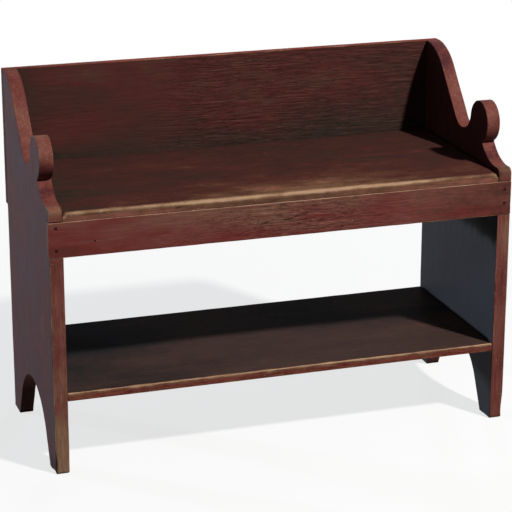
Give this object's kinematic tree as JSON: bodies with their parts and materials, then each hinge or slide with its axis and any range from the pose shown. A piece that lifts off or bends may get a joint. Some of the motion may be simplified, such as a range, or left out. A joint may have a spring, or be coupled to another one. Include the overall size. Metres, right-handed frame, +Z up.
{
  "type": "bucket bench",
  "caption": "Painted wooden bench with a back board, scrolled ends on arched feet, a front apron under the seat and a lower shelf for buckets.",
  "frame": {"origin": "on the floor, under the middle of the bench's outer box", "axes": "+X to the right seen from the front, +Y from the front to the back, +Z up"},
  "size_m": [1.067, 0.451, 0.813],
  "materials": {
    "red_paint": "worn dark red milk paint over pine, satin, rubbed to bare wood along the edges",
    "nail_iron": "dark rusted iron"
  },
  "bodies": {
    "root": {"left_end": "red_paint", "right_end": "red_paint", "back_board": "red_paint", "seat_board": "red_paint", "apron": "red_paint", "lower_shelf": "red_paint", "apron_nails": "nail_iron", "seat_end_nails": "nail_iron", "shelf_end_nails": "nail_iron", "back_end_nails": "nail_iron", "back_seat_nails": "nail_iron", "seat_apron_nails": "nail_iron"}
  },
  "joints": []
}
